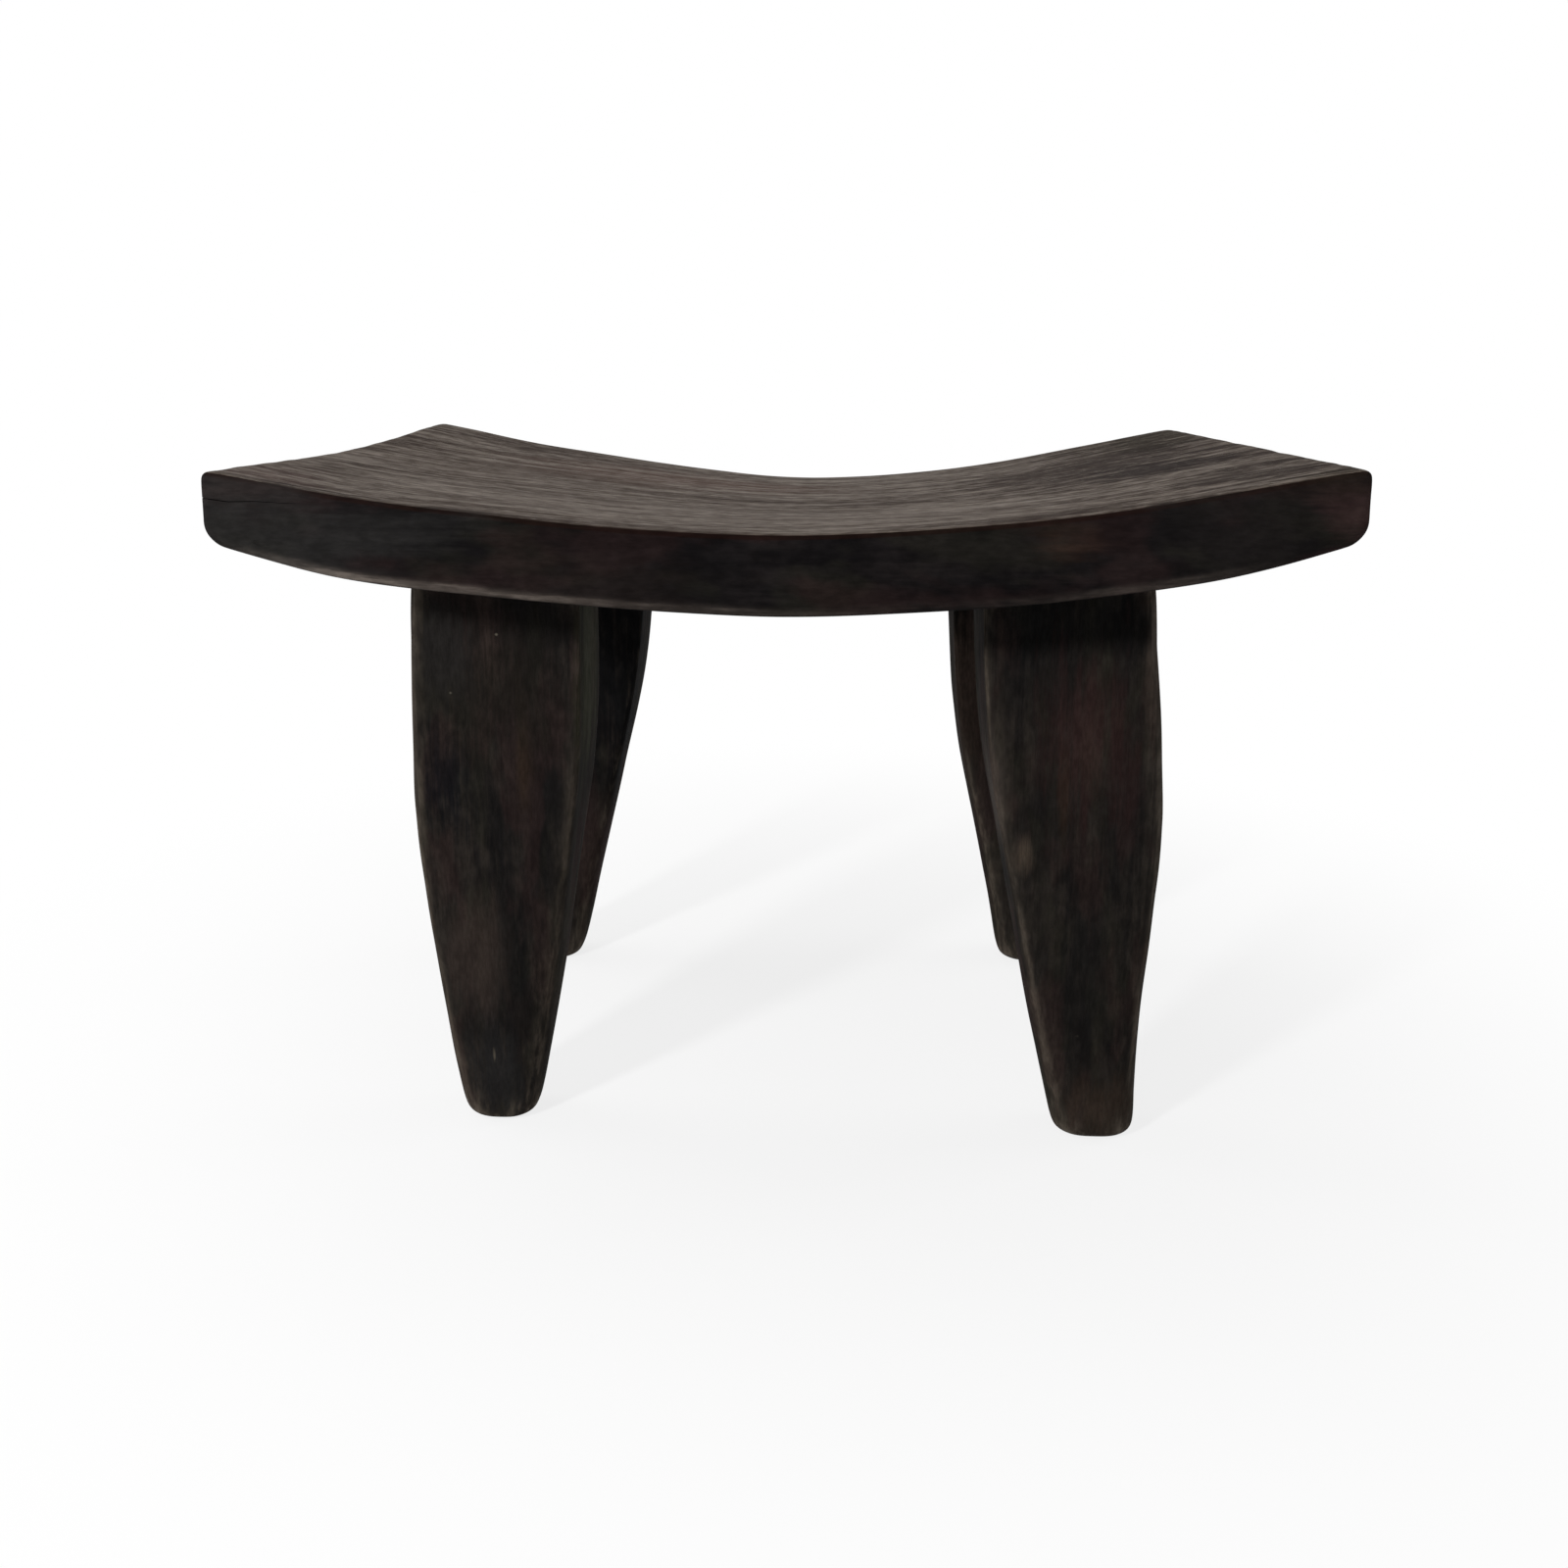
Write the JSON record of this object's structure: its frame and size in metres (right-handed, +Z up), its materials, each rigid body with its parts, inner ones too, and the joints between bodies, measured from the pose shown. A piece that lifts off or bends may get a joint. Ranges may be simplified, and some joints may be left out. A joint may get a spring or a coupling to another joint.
{
  "type": "stool",
  "caption": "Low wooden stool: a dark-stained saddle seat carved from one board, on separate tapered legs with rounded feet, glued on with hidden dowels.",
  "frame": {"origin": "on the floor, under the middle of the seat", "axes": "+X along the seat to its right end, +Y from the front edge to the back edge, +Z up"},
  "size_m": [0.45, 0.35, 0.31],
  "materials": {
    "stained_seat_wood": "black-brown stain, rubbed with wax, greyish sheen on open grain",
    "stained_leg_wood": "black-brown stain, rubbed with wax, worn brown along the arrises",
    "dowel_wood": "bare sanded hardwood"
  },
  "bodies": {
    "root": {"seat": "stained_seat_wood", "leg_front_left": "stained_leg_wood", "leg_front_right": "stained_leg_wood", "leg_back_left": "stained_leg_wood", "leg_back_right": "stained_leg_wood", "dowel_front_left_inner": "dowel_wood", "dowel_front_left_outer": "dowel_wood", "dowel_front_right_inner": "dowel_wood", "dowel_front_right_outer": "dowel_wood", "dowel_back_left_inner": "dowel_wood", "dowel_back_left_outer": "dowel_wood", "dowel_back_right_inner": "dowel_wood", "dowel_back_right_outer": "dowel_wood"}
  },
  "joints": []
}
